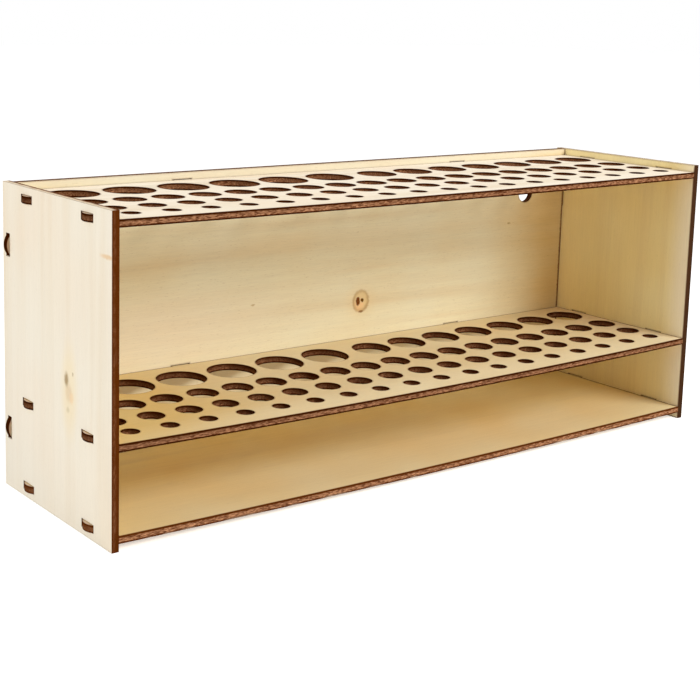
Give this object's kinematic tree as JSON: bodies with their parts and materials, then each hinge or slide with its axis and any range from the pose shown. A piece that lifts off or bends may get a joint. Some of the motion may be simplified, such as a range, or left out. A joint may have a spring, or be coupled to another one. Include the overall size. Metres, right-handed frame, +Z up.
{
  "type": "paint organizer",
  "caption": "Plywood desk rack for paint bottles: plug-together side and back panels carry shelves pierced by rows of round holes in graded sizes, over an open bottom shelf.",
  "frame": {"origin": "middle of the footprint, on the floor", "axes": "+X along the rack, from the side with the largest holes; -Y out of the open front; +Z up"},
  "size_m": [0.5372, 0.15, 0.21],
  "materials": {
    "plywood": "bare sanded veneer, laser-cut edges burnt dark brown"
  },
  "bodies": {
    "root": {"left_side": "plywood", "right_side": "plywood", "back_panel": "plywood", "top_shelf": "plywood", "middle_shelf": "plywood", "bottom_shelf": "plywood"}
  },
  "joints": []
}
